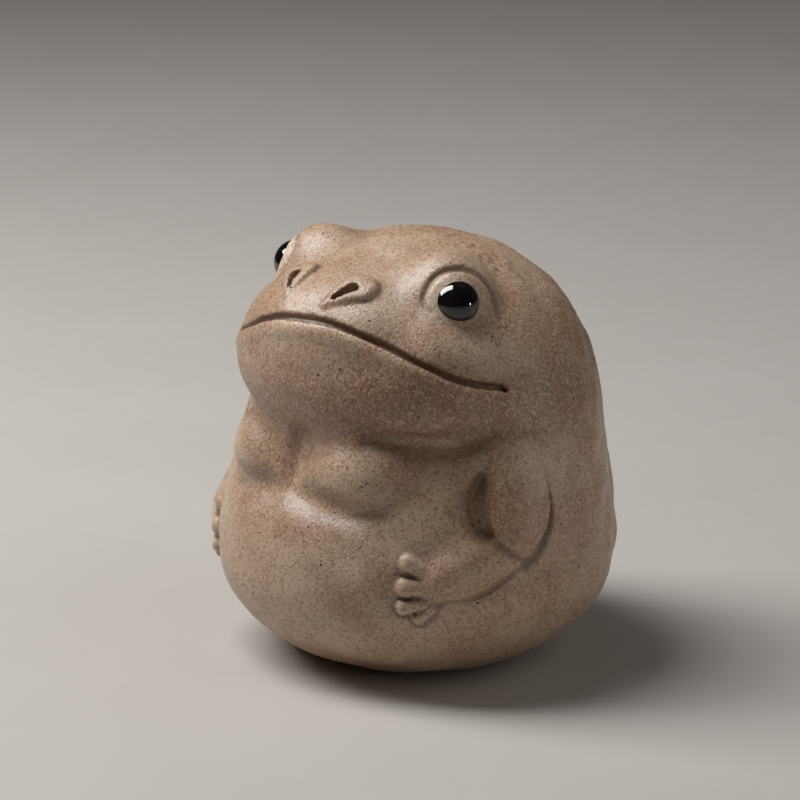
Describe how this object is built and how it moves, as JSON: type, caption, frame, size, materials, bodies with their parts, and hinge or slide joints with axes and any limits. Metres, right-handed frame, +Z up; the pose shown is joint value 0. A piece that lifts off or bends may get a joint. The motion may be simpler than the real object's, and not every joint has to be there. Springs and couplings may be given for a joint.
{
  "type": "toad figurine",
  "caption": "Hollow unglazed stoneware toad figurine, sitting upright with hands on its round belly and glossy black eyes, for a tea table or shelf.",
  "frame": {"origin": "centre of the outline, on the resting face", "axes": "+Z up, -Y the way the toad faces, +X towards the toad's left side"},
  "size_m": [0.046, 0.0441, 0.0478],
  "materials": {
    "tan_clay": "matte",
    "black_glaze": "gloss"
  },
  "bodies": {
    "root": {"front_wall": "tan_clay", "back_wall": "tan_clay", "base_slab": "tan_clay", "left_arm": "tan_clay", "right_arm": "tan_clay", "left_brow": "tan_clay", "right_brow": "tan_clay", "left_eyeball": "tan_clay", "right_eyeball": "tan_clay", "left_pupil": "black_glaze", "right_pupil": "black_glaze"}
  },
  "joints": []
}
